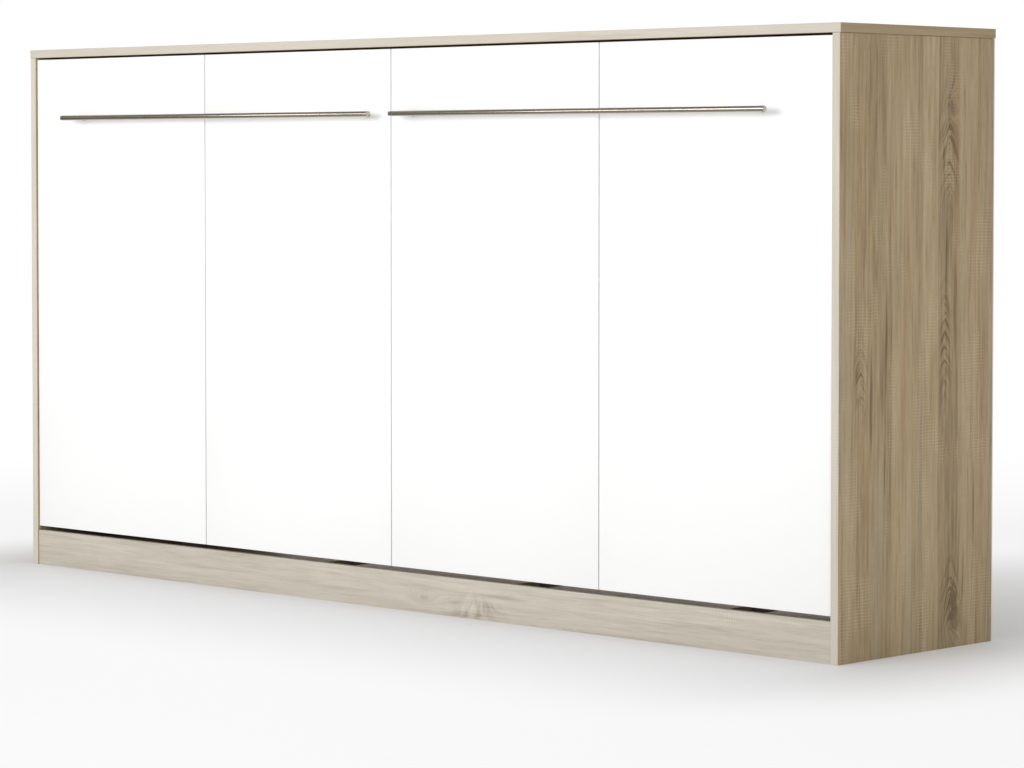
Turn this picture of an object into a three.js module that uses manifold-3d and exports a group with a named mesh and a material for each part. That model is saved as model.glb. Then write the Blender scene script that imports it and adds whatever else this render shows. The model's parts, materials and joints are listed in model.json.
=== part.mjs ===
// Horizontal murphy wall bed, 900 x 2000 mm, closed. Millimetres, +Z up, +X along the width.
// Every length along Y is counted from the cabinet's front plane towards the wall; the whole
// group is then moved so that the origin lies under the middle of the closed bed.
import * as THREE from "three";
import { mergeVertices } from "three/addons/utils/BufferGeometryUtils.js";
import Module from "manifold-3d";

// Cabinet
const WIDTH = 2120;
const HEIGHT = 1050;
const DEPTH = 419;
const BOARD = 16;
const BACK_BOARD = 3;
const BACK_BOTTOM = 2;
const TOP_OVERHANG = 1.5;
const FIT = 0.25; // air left between boards that meet
const PLINTH = { front: 2, height: 70 };
const BASE = { bottom: 38, depth: 182 };
const VENT = { count: 4, pitch: 510, width: 80, depth: 110, inset: 52 };
const REAR_RAIL = { height: 120, lowest: 8 };
const BACK_STRIP = { width: 30, thickness: 2.25 };

// Front panels and handles
const PANELS = 4;
const PANEL = { front: 3.5, bottom: 79, top: 1030, sideGap: 1.5, seam: 2.5 };
const HANDLE = { length: 894, centre: 476, height: 911, radius: 5, standOff: 28 };
const HANDLE_POST = { radius: 4, spacing: 832 };

// Bed frame
const RAIL = { thickness: 18, depth: 140, bottom: 84, top: 1026, outerX: 1018 };
const LEDGE = { height: 24, depth: 30, offset: 2 };
const SLATS = 12;
const SLAT = { width: 70, pitch: 166, thickness: 9, crown: 5, endGap: 2 };
const MATTRESS = { length: 1992, width: 899, thickness: 170, back: 66.5, corner: 60, edge: 20 };
const STRAP = { width: 40, thickness: 2.25, x: 500, reach: 118.5 };

// Fold pivot of the bed, and its steel fittings. Pairs are [y, z].
const PIVOT = [60, 250];
const PLATE_STEEL = 3;
const PIN_RADIUS = 6;
const PIN_CLEARANCE = 0.3;
const BEARING = { width: 60, height: 60, corner: 15, bossRadius: 15, bossTip: 1026 };
const HINGE_PLATE = { width: 88, height: 180, centre: [66, 240], corner: 10 };
const PIN = { collarRadius: 12, collarTip: 1025.5, tip: 1038 };

// Gas springs: cabinet stud, bed stud and the spring between them
const SPRING_X = 1030.25;
const CABINET_STUD = [250, 380];
const BED_STUD = [40, 185];
const STUD = { radius: 4, clearance: 0.3, cabinetTip: 1023, bedTip: 1023.75 };
const BRACKET = { width: 60, height: 90, corner: 6 };
const SOCKET = { radius: 8, length: 12 };
const CYLINDER = { radius: 8, start: 6, end: 182, bore: 5, boreStart: 65 };
const ROD = { radius: 4, start: 172, intoSocket: 4 };

// Leg bow of square tube, folded over the mattress
const TUBE = 20;
const TUBE_WALL = 1.5;
const LEG_PIVOT = [88, 760];
const LEG = { x: 1030.25, arm: 286, reach: 266, tail: 15, studRadius: 5, studTip: 1001 };
const LEG_HOLE_RADIUS = 5.6;

// Small fittings
const BUFFER = { front: 20, depth: 8, bottom: 415, height: 30, width: 12 };
const WALL_ANGLE = { x: 700, width: 30, flange: 40, thickness: 2.25 };

// How finely round shapes are faceted, and how far joined shapes run into each other
const SIDES = { post: 16, rod: 20, bar: 24, fitting: 32 };
const CURVE_STEPS = { corner: 6, bow: 10, mattressCorner: 5, mattressEdge: 3 };
const OVERLAP = 1;

// Sizes worked out from the ones above
const SIDE_OUT = WIDTH / 2 - TOP_OVERHANG;
const SIDE_IN = SIDE_OUT - BOARD;
const SIDE_DEPTH = DEPTH - BACK_BOARD;
const UNDER_TOP = HEIGHT - BOARD;
const RAIL_FRONT = PANEL.front + BOARD + FIT;
const RAIL_IN = RAIL.outerX - RAIL.thickness;
const SPRING_LENGTH = Math.hypot(BED_STUD[0] - CABINET_STUD[0], BED_STUD[1] - CABINET_STUD[1]);
const SPRING_ANGLE = Math.atan2(BED_STUD[1] - CABINET_STUD[1], BED_STUD[0] - CABINET_STUD[0]);
const ORIGIN_Y = (DEPTH - HANDLE.standOff - HANDLE.radius) / 2;

const wasm = await Module();
wasm.setup();

const finish = (color, roughness, metalness = 0) =>
  new THREE.MeshStandardMaterial({ color, roughness, metalness });

const MATERIALS = {
  oak: () => finish(0xb9a483, 0.6),
  white: () => finish(0xf4f4f3, 0.35),
  backWhite: () => finish(0xe9e7e2, 0.55),
  beech: () => finish(0xd9bd92, 0.55),
  ticking: () => finish(0xeeeeea, 0.9),
  webbing: () => finish(0x3b3d40, 0.85),
  brushedSteel: () => finish(0xb9b4aa, 0.3, 1),
  zincSteel: () => finish(0xc3c6c8, 0.4, 1),
  silverPaint: () => finish(0xb4b7ba, 0.45, 0.5),
  blackPaint: () => finish(0x1b1c1e, 0.4, 0.2),
  chrome: () => finish(0xd8dadc, 0.1, 1),
  rubber: () => finish(0x1c1c1c, 0.9),
  plastic: () => finish(0xe4e2dc, 0.6),
};

// ---- geometry helpers -------------------------------------------------------------------

const span = ([low, high]) => high - low;
const middle = ([low, high]) => (low + high) / 2;
const onSide = (side, near, far) => (side > 0 ? [near, far] : [-far, -near]);

function addMesh(group, name, geometry, material, position = [0, 0, 0]) {
  const mesh = new THREE.Mesh(geometry, MATERIALS[material]());
  mesh.name = name;
  mesh.position.set(...position);
  group.add(mesh);
}

function addBoard(group, name, material, x, y, z) {
  const geometry = new THREE.BoxGeometry(span(x), span(y), span(z));
  addMesh(group, name, geometry, material, [middle(x), middle(y), middle(z)]);
}

// A cylinder along X between two x values, centred on y = z = 0.
function rodAlongX(radius, [low, high], sides = SIDES.fitting) {
  const geometry = new THREE.CylinderGeometry(radius, radius, high - low, sides);
  return geometry.rotateZ(Math.PI / 2).translate((low + high) / 2, 0, 0);
}

function roundedRectangle(width, height, radius) {
  const x = width / 2 - radius;
  const y = height / 2 - radius;
  const quarter = Math.PI / 2;
  const shape = new THREE.Shape();
  shape.absarc(x, y, radius, 0, quarter);
  shape.absarc(-x, y, radius, quarter, 2 * quarter);
  shape.absarc(-x, -y, radius, 2 * quarter, 3 * quarter);
  shape.absarc(x, -y, radius, 3 * quarter, 4 * quarter);
  return shape;
}

// A shape drawn in (y, z) and given a thickness along X, starting at x = low.
function extrudeAlongX(shape, [low, high], curveSegments = CURVE_STEPS.corner) {
  const geometry = new THREE.ExtrudeGeometry(shape, {
    depth: high - low,
    bevelEnabled: false,
    curveSegments,
  });
  return geometry
    .rotateZ(Math.PI / 2)
    .rotateY(Math.PI / 2)
    .translate(low, 0, 0);
}

function toSolid(geometry) {
  const bare = geometry.clone();
  bare.deleteAttribute("normal");
  bare.deleteAttribute("uv");
  const merged = mergeVertices(bare);
  return new wasm.Manifold(
    new wasm.Mesh({
      numProp: 3,
      vertProperties: merged.attributes.position.array,
      triVerts: new Uint32Array(merged.index.array),
    }),
  );
}

function toGeometry(solid) {
  const { vertProperties, triVerts } = solid.getMesh();
  const geometry = new THREE.BufferGeometry();
  geometry.setAttribute("position", new THREE.BufferAttribute(vertProperties, 3));
  geometry.setIndex(new THREE.BufferAttribute(triVerts, 1));
  geometry.computeVertexNormals();
  return geometry;
}

function joined(first, ...others) {
  return toGeometry(others.reduce((whole, next) => whole.add(toSolid(next)), toSolid(first)));
}

function cut(body, ...tools) {
  return toGeometry(tools.reduce((rest, tool) => rest.subtract(toSolid(tool)), toSolid(body)));
}

// ---- cabinet ----------------------------------------------------------------------------

// The board behind the plinth, with a row of ventilation slots. Its front lower edge is at y = z = 0.
function baseBoardGeometry(width) {
  const board = new THREE.BoxGeometry(width, BASE.depth, BOARD);
  board.translate(0, BASE.depth / 2, BOARD / 2);
  const vents = [];
  for (let i = 0; i < VENT.count; i += 1) {
    const vent = new THREE.BoxGeometry(VENT.width, VENT.depth, 2 * BOARD);
    const x = (i - (VENT.count - 1) / 2) * VENT.pitch;
    vents.push(vent.translate(x, VENT.inset + VENT.depth / 2, BOARD / 2));
  }
  return cut(board, ...vents);
}

function addCarcass(group) {
  const inner = [-(SIDE_IN - FIT), SIDE_IN - FIT];
  const underTop = UNDER_TOP - FIT;
  for (const [side, word] of [[-1, "left"], [1, "right"]]) {
    const x = onSide(side, SIDE_IN, SIDE_OUT);
    addBoard(group, `side_panel_${word}`, "oak", x, [0, SIDE_DEPTH], [0, underTop]);
  }
  addBoard(group, "top_panel", "oak", [-WIDTH / 2, WIDTH / 2], [0, DEPTH], [UNDER_TOP, HEIGHT]);
  const plinthY = [PLINTH.front, PLINTH.front + BOARD];
  addBoard(group, "plinth", "oak", inner, plinthY, [0, PLINTH.height]);
  const base = baseBoardGeometry(span(inner));
  addMesh(group, "base_board", base, "oak", [0, plinthY[1] + FIT, BASE.bottom]);
  const railY = [SIDE_DEPTH - FIT - BOARD, SIDE_DEPTH - FIT];
  const upper = [underTop - REAR_RAIL.height, underTop];
  const lower = [REAR_RAIL.lowest, REAR_RAIL.lowest + REAR_RAIL.height];
  addBoard(group, "upper_rear_rail", "oak", inner, railY, upper);
  addBoard(group, "lower_rear_rail", "oak", inner, railY, lower);
  const stripX = [-BACK_STRIP.width / 2, BACK_STRIP.width / 2];
  const stripY = [railY[1] - BACK_STRIP.thickness, railY[1]];
  addBoard(group, "back_joint_strip", "plastic", stripX, stripY, [lower[1] + FIT, upper[0] - FIT]);
  const backZ = [BACK_BOTTOM, underTop];
  for (const [side, word] of [[-1, "left"], [1, "right"]]) {
    const x = onSide(side, FIT, SIDE_OUT);
    addBoard(group, `back_panel_${word}`, "backWhite", x, [SIDE_DEPTH, DEPTH], backZ);
  }
}

// A steel plate on the inner face of a side panel, with its centre at y = z = 0.
function cabinetPlate(side, plate) {
  const shape = roundedRectangle(plate.width, plate.height, plate.corner);
  const x = onSide(side, SIDE_IN - FIT - PLATE_STEEL, SIDE_IN - FIT);
  return extrudeAlongX(shape, x);
}

function addCabinetFittings(group) {
  const plateFace = SIDE_IN - FIT - PLATE_STEEL;
  for (const [side, word] of [[-1, "left"], [1, "right"]]) {
    const boss = rodAlongX(BEARING.bossRadius, onSide(side, BEARING.bossTip, plateFace + OVERLAP));
    const boreX = onSide(side, BEARING.bossTip - OVERLAP, plateFace);
    const bore = rodAlongX(PIN_RADIUS + PIN_CLEARANCE, boreX);
    const bearing = cut(joined(cabinetPlate(side, BEARING), boss), bore);
    addMesh(group, `bearing_plate_${word}`, bearing, "zincSteel", [0, ...PIVOT]);

    const stud = rodAlongX(STUD.radius, onSide(side, STUD.cabinetTip, plateFace + OVERLAP));
    const bracket = joined(cabinetPlate(side, BRACKET), stud);
    addMesh(group, `spring_bracket_${word}`, bracket, "zincSteel", [0, ...CABINET_STUD]);

    const bufferX = onSide(side, SIDE_IN - FIT - BUFFER.width, SIDE_IN - FIT);
    const bufferY = [BUFFER.front, BUFFER.front + BUFFER.depth];
    const bufferZ = [BUFFER.bottom, BUFFER.bottom + BUFFER.height];
    addBoard(group, `stop_buffer_${word}`, "rubber", bufferX, bufferY, bufferZ);

    const angle = wallAngle();
    addMesh(group, `wall_angle_${word}`, angle, "zincSteel", [side * WALL_ANGLE.x, 0, 0]);
  }
}

// An L-shaped steel angle in the corner under the top panel, against the upper rear rail.
function wallAngle() {
  const { flange, thickness, width } = WALL_ANGLE;
  const back = SIDE_DEPTH - 2 * FIT - BOARD;
  const top = UNDER_TOP - FIT;
  const shape = new THREE.Shape();
  shape.moveTo(back, top);
  shape.lineTo(back - flange, top);
  shape.lineTo(back - flange, top - thickness);
  shape.lineTo(back - thickness, top - thickness);
  shape.lineTo(back - thickness, top - flange);
  shape.lineTo(back, top - flange);
  shape.closePath();
  return extrudeAlongX(shape, [-width / 2, width / 2]);
}

// ---- bed --------------------------------------------------------------------------------

function addFront(group) {
  const whole = 2 * (SIDE_IN - PANEL.sideGap);
  const width = (whole - (PANELS - 1) * PANEL.seam) / PANELS;
  const y = [PANEL.front, PANEL.front + BOARD];
  for (let i = 0; i < PANELS; i += 1) {
    const left = -whole / 2 + i * (width + PANEL.seam);
    const x = [left, left + width];
    addBoard(group, `front_panel_${i + 1}`, "white", x, y, [PANEL.bottom, PANEL.top]);
  }
}

function addHandles(group) {
  const { length, centre, height, radius, standOff } = HANDLE;
  const postRadius = HANDLE_POST.radius;
  const postFront = -standOff + radius + FIT;
  const postY = [postFront, PANEL.front - FIT];
  for (const [side, word] of [[-1, "left"], [1, "right"]]) {
    const bar = rodAlongX(radius, [-length / 2, length / 2], SIDES.bar);
    addMesh(group, `handle_bar_${word}`, bar, "brushedSteel", [side * centre, -standOff, height]);
    for (const [end, endWord] of [[-1, "inner"], [1, "outer"]]) {
      const post = new THREE.CylinderGeometry(postRadius, postRadius, span(postY), SIDES.post);
      const x = side * (centre + (end * HANDLE_POST.spacing) / 2);
      const name = `handle_post_${word}_${endWord}`;
      addMesh(group, name, post, "brushedSteel", [x, middle(postY), height]);
    }
  }
}

function addBedFrame(group) {
  const y = [RAIL_FRONT, RAIL_FRONT + RAIL.depth];
  const between = [-(RAIL_IN - FIT), RAIL_IN - FIT];
  const inner = [RAIL.bottom, RAIL.bottom + RAIL.thickness];
  const outer = [RAIL.top - RAIL.thickness, RAIL.top];
  addBoard(group, "inner_long_rail", "oak", between, y, inner);
  addBoard(group, "outer_long_rail", "oak", between, y, outer);
  for (const [side, word] of [[-1, "left"], [1, "right"]]) {
    const x = onSide(side, RAIL_IN, RAIL.outerX);
    const board = new THREE.BoxGeometry(span(x), span(y), RAIL.top - RAIL.bottom);
    board.translate(middle(x), middle(y), (RAIL.top + RAIL.bottom) / 2);
    const holeX = onSide(side, RAIL_IN - OVERLAP, RAIL.outerX + OVERLAP);
    const hole = rodAlongX(LEG_HOLE_RADIUS, holeX);
    hole.translate(0, ...LEG_PIVOT);
    addMesh(group, `end_rail_${word}`, cut(board, hole), "oak");
  }
  const ledgeY = [RAIL_FRONT + LEDGE.offset, RAIL_FRONT + LEDGE.offset + LEDGE.depth];
  const ledgeX = [between[0] + FIT, between[1] - FIT];
  const innerZ = [inner[1] + FIT, inner[1] + FIT + LEDGE.height];
  const outerZ = [outer[0] - FIT - LEDGE.height, outer[0] - FIT];
  addBoard(group, "slat_ledge_inner", "beech", ledgeX, ledgeY, innerZ);
  addBoard(group, "slat_ledge_outer", "beech", ledgeX, ledgeY, outerZ);
}

// A thin bowed strip that spans the frame along Z and bows towards the mattress.
function slatGeometry(length) {
  const half = length / 2;
  const { thickness, crown, width } = SLAT;
  const shape = new THREE.Shape();
  shape.moveTo(0, -half);
  shape.quadraticCurveTo(2 * crown, 0, 0, half);
  shape.lineTo(thickness, half);
  shape.quadraticCurveTo(thickness + 2 * crown, 0, thickness, -half);
  shape.closePath();
  return extrudeAlongX(shape, [-width / 2, width / 2], CURVE_STEPS.bow);
}

function addSlats(group) {
  const railIn = [RAIL.bottom + RAIL.thickness, RAIL.top - RAIL.thickness];
  const length = span(railIn) - 2 * SLAT.endGap;
  const y = RAIL_FRONT + LEDGE.offset + LEDGE.depth + FIT;
  for (let i = 0; i < SLATS; i += 1) {
    const x = (i - (SLATS - 1) / 2) * SLAT.pitch;
    const name = `slat_${String(i + 1).padStart(2, "0")}`;
    addMesh(group, name, slatGeometry(length), "beech", [x, y, middle(railIn)]);
  }
}

function addMattress(group) {
  const { length, width, thickness, back, corner, edge } = MATTRESS;
  const shape = roundedRectangle(length - 2 * edge, width - 2 * edge, corner - edge);
  const geometry = new THREE.ExtrudeGeometry(shape, {
    depth: thickness - 2 * edge,
    bevelThickness: edge,
    bevelSize: edge,
    bevelSegments: CURVE_STEPS.mattressEdge,
    curveSegments: CURVE_STEPS.mattressCorner,
  });
  geometry.rotateX(Math.PI / 2);
  const y = back + thickness - edge;
  addMesh(group, "mattress", geometry, "ticking", [0, y, (RAIL.bottom + RAIL.top) / 2]);
}

// A webbing strap over the mattress, down between its long edges and the long rails.
function strapGeometry() {
  const { width, thickness, reach } = STRAP;
  const half = (RAIL.top - RAIL.bottom) / 2 - RAIL.thickness - 2 * FIT;
  const shape = new THREE.Shape();
  shape.moveTo(0, -half);
  shape.lineTo(reach, -half);
  shape.lineTo(reach, half);
  shape.lineTo(0, half);
  shape.lineTo(0, half - thickness);
  shape.lineTo(reach - thickness, half - thickness);
  shape.lineTo(reach - thickness, -(half - thickness));
  shape.lineTo(0, -(half - thickness));
  shape.closePath();
  return extrudeAlongX(shape, [-width / 2, width / 2]);
}

function addStraps(group) {
  const top = MATTRESS.back + MATTRESS.thickness + 2 * FIT + STRAP.thickness;
  const z = (RAIL.bottom + RAIL.top) / 2;
  for (const [side, word] of [[-1, "left"], [1, "right"]]) {
    const position = [side * STRAP.x, top - STRAP.reach, z];
    addMesh(group, `mattress_strap_${word}`, strapGeometry(), "webbing", position);
  }
}

// A steel plate on each end rail that carries the pivot pin and the gas spring's bed stud.
function addHingePlates(group) {
  const { width, height, centre, corner } = HINGE_PLATE;
  const face = RAIL.outerX + FIT;
  const tip = face + PLATE_STEEL;
  for (const [side, word] of [[-1, "left"], [1, "right"]]) {
    const plate = extrudeAlongX(roundedRectangle(width, height, corner), onSide(side, face, tip));
    plate.translate(0, ...centre);
    const pin = rodAlongX(PIN_RADIUS, onSide(side, tip - OVERLAP, PIN.tip));
    pin.translate(0, ...PIVOT);
    const collar = rodAlongX(PIN.collarRadius, onSide(side, tip - OVERLAP, PIN.collarTip));
    collar.translate(0, ...PIVOT);
    const stud = rodAlongX(STUD.radius, onSide(side, tip - OVERLAP, STUD.bedTip));
    stud.translate(0, ...BED_STUD);
    addMesh(group, `hinge_plate_${word}`, joined(plate, pin, collar, stud), "zincSteel");
  }
}

// ---- leg bow ----------------------------------------------------------------------------

// A square tube of the given length along +Z, open at both ends, centred on x = y = 0.
function squareTube(length) {
  const half = TUBE / 2;
  const bore = half - TUBE_WALL;
  const shape = new THREE.Shape();
  shape.moveTo(-half, -half);
  shape.lineTo(half, -half);
  shape.lineTo(half, half);
  shape.lineTo(-half, half);
  shape.closePath();
  const hole = new THREE.Path();
  hole.moveTo(-bore, -bore);
  hole.lineTo(-bore, bore);
  hole.lineTo(bore, bore);
  hole.lineTo(bore, -bore);
  hole.closePath();
  shape.holes.push(hole);
  return new THREE.ExtrudeGeometry(shape, { depth: length, bevelEnabled: false });
}

function addLegBow(group) {
  const half = TUBE / 2;
  const [y, z] = LEG_PIVOT;
  const low = z - LEG.arm;
  const crossY = y + LEG.reach;
  for (const [side, word] of [[-1, "left"], [1, "right"]]) {
    const tube = squareTube(LEG.arm + half + LEG.tail);
    tube.translate(side * LEG.x, 0, -(LEG.arm + half));
    const stud = rodAlongX(LEG.studRadius, onSide(side, LEG.studTip, LEG.x - half + TUBE_WALL / 2));
    addMesh(group, `leg_arm_${word}`, joined(tube, stud), "silverPaint", [0, y, z]);

    const post = squareTube(LEG.reach - TUBE - 2 * FIT);
    post.rotateX(-Math.PI / 2);
    const position = [side * LEG.x, y + half + FIT, low];
    addMesh(group, `leg_post_${word}`, post, "silverPaint", position);
  }
  const cross = squareTube(2 * LEG.x + TUBE);
  cross.rotateY(Math.PI / 2);
  addMesh(group, "leg_cross_tube", cross, "silverPaint", [-(LEG.x + half), crossY, low]);
}

// ---- gas springs ------------------------------------------------------------------------

// Both halves are drawn along +Y from the cabinet stud, then turned towards the bed stud.
function cylinderGeometry() {
  const { radius, start, end, bore, boreStart } = CYLINDER;
  const profile = [
    [0, start],
    [radius, start],
    [radius, end],
    [bore, end],
    [bore, boreStart],
    [0, boreStart],
  ];
  const points = profile.map(([r, y]) => new THREE.Vector2(r, y));
  const body = new THREE.LatheGeometry(points, SIDES.bar);
  const eye = rodAlongX(SOCKET.radius, [-SOCKET.length / 2, SOCKET.length / 2], SIDES.bar);
  const hole = rodAlongX(STUD.radius + STUD.clearance, [-SOCKET.length, SOCKET.length], SIDES.bar);
  return cut(joined(body, eye), hole);
}

function rodGeometry() {
  const end = SPRING_LENGTH - SOCKET.radius + ROD.intoSocket;
  const rod = new THREE.CylinderGeometry(ROD.radius, ROD.radius, end - ROD.start, SIDES.rod);
  rod.translate(0, (end + ROD.start) / 2, 0);
  const socket = rodAlongX(SOCKET.radius, [-SOCKET.length / 2, SOCKET.length / 2], SIDES.bar);
  socket.translate(0, SPRING_LENGTH, 0);
  return joined(rod, socket);
}

function addGasSprings(group) {
  for (const [side, word] of [[-1, "left"], [1, "right"]]) {
    const spring = new THREE.Group();
    spring.position.set(side * SPRING_X, ...CABINET_STUD);
    spring.rotation.x = SPRING_ANGLE;
    addMesh(spring, `gas_cylinder_${word}`, cylinderGeometry(), "blackPaint");
    addMesh(spring, `gas_rod_${word}`, rodGeometry(), "chrome");
    group.add(spring);
  }
}

// ---- assembly ---------------------------------------------------------------------------

const wallBed = new THREE.Group();
wallBed.position.y = -ORIGIN_Y;

const cabinet = new THREE.Group();
addCarcass(cabinet);
addCabinetFittings(cabinet);

const bed = new THREE.Group();
addFront(bed);
addHandles(bed);
addBedFrame(bed);
addSlats(bed);
addMattress(bed);
addStraps(bed);
addHingePlates(bed);

const legBow = new THREE.Group();
addLegBow(legBow);

const gasSprings = new THREE.Group();
addGasSprings(gasSprings);

wallBed.add(cabinet, bed, legBow, gasSprings);

export default wallBed;
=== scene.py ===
"""Looks of a horizontal murphy wall bed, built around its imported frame. Metres, +Z up."""
import json
import math

import bmesh
import bpy
import numpy as np
from mathutils import Matrix, Vector

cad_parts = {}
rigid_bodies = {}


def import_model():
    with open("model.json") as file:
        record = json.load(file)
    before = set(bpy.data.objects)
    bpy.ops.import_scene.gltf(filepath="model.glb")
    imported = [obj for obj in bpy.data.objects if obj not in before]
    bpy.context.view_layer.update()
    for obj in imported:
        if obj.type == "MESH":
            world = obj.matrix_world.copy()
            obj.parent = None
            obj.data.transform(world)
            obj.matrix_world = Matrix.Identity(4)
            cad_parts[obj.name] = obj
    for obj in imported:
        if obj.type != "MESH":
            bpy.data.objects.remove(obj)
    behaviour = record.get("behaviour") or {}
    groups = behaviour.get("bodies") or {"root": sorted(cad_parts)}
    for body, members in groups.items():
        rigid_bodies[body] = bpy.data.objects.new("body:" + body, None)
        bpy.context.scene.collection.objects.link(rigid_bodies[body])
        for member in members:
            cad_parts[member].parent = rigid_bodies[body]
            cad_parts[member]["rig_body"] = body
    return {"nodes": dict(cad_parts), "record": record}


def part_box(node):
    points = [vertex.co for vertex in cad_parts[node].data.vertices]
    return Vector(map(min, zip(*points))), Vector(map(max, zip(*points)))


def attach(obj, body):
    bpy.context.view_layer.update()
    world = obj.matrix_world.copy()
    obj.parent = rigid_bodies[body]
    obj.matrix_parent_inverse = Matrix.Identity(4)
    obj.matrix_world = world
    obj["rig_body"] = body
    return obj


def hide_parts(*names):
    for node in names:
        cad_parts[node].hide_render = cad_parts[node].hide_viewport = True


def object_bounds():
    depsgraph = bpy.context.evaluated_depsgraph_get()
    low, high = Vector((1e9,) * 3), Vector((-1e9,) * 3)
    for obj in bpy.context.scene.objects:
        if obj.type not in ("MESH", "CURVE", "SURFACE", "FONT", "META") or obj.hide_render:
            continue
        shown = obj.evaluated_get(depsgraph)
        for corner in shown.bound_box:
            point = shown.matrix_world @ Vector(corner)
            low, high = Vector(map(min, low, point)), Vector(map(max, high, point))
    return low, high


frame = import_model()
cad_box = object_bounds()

SIDES = (("left", -1), ("right", 1))
SLATS = [name for name in sorted(frame["nodes"]) if name.startswith("slat_") and name[-1].isdigit()]

# Camera: it stands in front of the bed and to its right, below its top, and looks along a long lens.
CAMERA_AT = (4.7186, -4.7030, 0.8252)
CAMERA_YAW = math.radians(44.323)
CAMERA_PITCH = math.radians(2.278)
CAMERA_LENS = 124.94
CAMERA_SENSOR = 36.0
CAMERA_SHIFT = -0.08
CAMERA_REACH = 200.0


# ---- node graphs ----

class Graph:
    """Short calls that build one material's node tree around a Principled shader."""

    def __init__(self, name):
        self.material = bpy.data.materials.new(name)
        self.material.use_nodes = True
        self.tree = self.material.node_tree
        self.tree.nodes.clear()
        self.output = self.tree.nodes.new("ShaderNodeOutputMaterial")
        self.shader = self.tree.nodes.new("ShaderNodeBsdfPrincipled")
        self.tree.links.new(self.shader.outputs["BSDF"], self.output.inputs["Surface"])
        self.position = self.tree.nodes.new("ShaderNodeTexCoord").outputs["Object"]
        split = self.tree.nodes.new("ShaderNodeSeparateXYZ")
        self.tree.links.new(self.position, split.inputs["Vector"])
        self.x, self.y, self.z = split.outputs

    def put(self, socket, value):
        if isinstance(value, bpy.types.NodeSocket):
            self.tree.links.new(value, socket)
        elif value is not None:
            socket.default_value = value

    def math(self, operation, a, b=None):
        node = self.tree.nodes.new("ShaderNodeMath")
        node.operation = operation
        for socket, value in zip(node.inputs, (a, b)):
            self.put(socket, value)
        return node.outputs["Value"]

    def add(self, a, b):
        return self.math("ADD", a, b)

    def scaled(self, a, b):
        return self.math("MULTIPLY", a, b)

    def vector(self, x=0.0, y=0.0, z=0.0):
        node = self.tree.nodes.new("ShaderNodeCombineXYZ")
        for socket, value in zip(node.inputs, (x, y, z)):
            self.put(socket, value)
        return node.outputs["Vector"]

    def noise(self, vector, scale=1.0, detail=2.0, roughness=0.5):
        node = self.tree.nodes.new("ShaderNodeTexNoise")
        self.put(node.inputs["Vector"], vector)
        node.inputs["Scale"].default_value = scale
        node.inputs["Detail"].default_value = detail
        node.inputs["Roughness"].default_value = roughness
        return node.outputs["Fac"]

    def cells(self, value, randomness):
        """A random colour for each cell along one direction, split into three values."""
        node = self.tree.nodes.new("ShaderNodeTexVoronoi")
        node.voronoi_dimensions = "1D"
        self.put(node.inputs["W"], value)
        node.inputs["Scale"].default_value = 1.0
        node.inputs["Randomness"].default_value = randomness
        split = self.tree.nodes.new("ShaderNodeSeparateColor")
        self.tree.links.new(node.outputs["Color"], split.inputs["Color"])
        return split.outputs

    def between(self, value, low, high, to_low=0.0, to_high=1.0):
        node = self.tree.nodes.new("ShaderNodeMapRange")
        node.interpolation_type = "SMOOTHSTEP"
        self.put(node.inputs["Value"], value)
        limits = (low, high, to_low, to_high)
        for socket, limit in zip(("From Min", "From Max", "To Min", "To Max"), limits):
            node.inputs[socket].default_value = limit
        return node.outputs["Result"]

    def ramp(self, value, *stops, stepped=False):
        """A colour that goes from stop to stop, smoothly or in steps."""
        node = self.tree.nodes.new("ShaderNodeValToRGB")
        if stepped:
            node.color_ramp.interpolation = "CONSTANT"
        elements = node.color_ramp.elements
        while len(elements) < len(stops):
            elements.new(0.5)
        for element, (place, colour) in zip(elements, stops):
            element.position = place
            element.color = (*colour, 1.0)
        self.put(node.inputs["Fac"], value)
        return node.outputs["Color"]

    def mix(self, factor, a, b):
        node = self.tree.nodes.new("ShaderNodeMix")
        node.data_type = "RGBA"
        self.put(node.inputs[0], factor)
        for socket, value in ((node.inputs[6], a), (node.inputs[7], b)):
            self.put(socket, (*value, 1.0) if isinstance(value, tuple) else value)
        return node.outputs[2]

    def bell(self, a, b, centre, reach):
        """1 at a centre, falling smoothly to 0 over an elliptical reach."""
        da = self.math("POWER", self.scaled(self.add(a, -centre[0]), 1 / reach[0]), 2.0)
        db = self.math("POWER", self.scaled(self.add(b, -centre[1]), 1 / reach[1]), 2.0)
        return self.math("EXPONENT", self.scaled(self.add(da, db), -1.0))

    def bump(self, height, distance, strength=1.0):
        node = self.tree.nodes.new("ShaderNodeBump")
        node.inputs["Strength"].default_value = strength
        node.inputs["Distance"].default_value = distance
        self.put(node.inputs["Height"], height)
        return node.outputs["Normal"]

    def finish(self, colour, roughness, normal=None, **constants):
        self.put(self.shader.inputs["Base Color"], colour)
        self.put(self.shader.inputs["Roughness"], roughness)
        self.put(self.shader.inputs["Normal"], normal)
        for name, value in constants.items():
            self.shader.inputs[name.replace("_", " ")].default_value = value
        return self.material


def shade(colour, by):
    return tuple(part * by for part in colour)


# ---- materials ----

# Dark, middle and light tones of the oak decor: on wide faces, cut ends, pale edges and the plinth.
WARM_OAK = ((0.196, 0.136, 0.068), (0.405, 0.306, 0.174), (0.556, 0.443, 0.284))
END_OAK = tuple(shade(tone, 0.86) for tone in WARM_OAK)
PALE_OAK = ((0.400, 0.355, 0.280), (0.560, 0.515, 0.435), (0.680, 0.645, 0.570))
PLINTH_TONES = ((0.310, 0.265, 0.200), (0.490, 0.448, 0.375), (0.610, 0.575, 0.505))
# Colours that are mixed in: inside knots, and in warmer and duller stretches.
OAK_KNOT = (0.150, 0.100, 0.050)
OAK_AMBER = (0.400, 0.245, 0.115)
OAK_GREY = (0.400, 0.345, 0.245)

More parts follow.
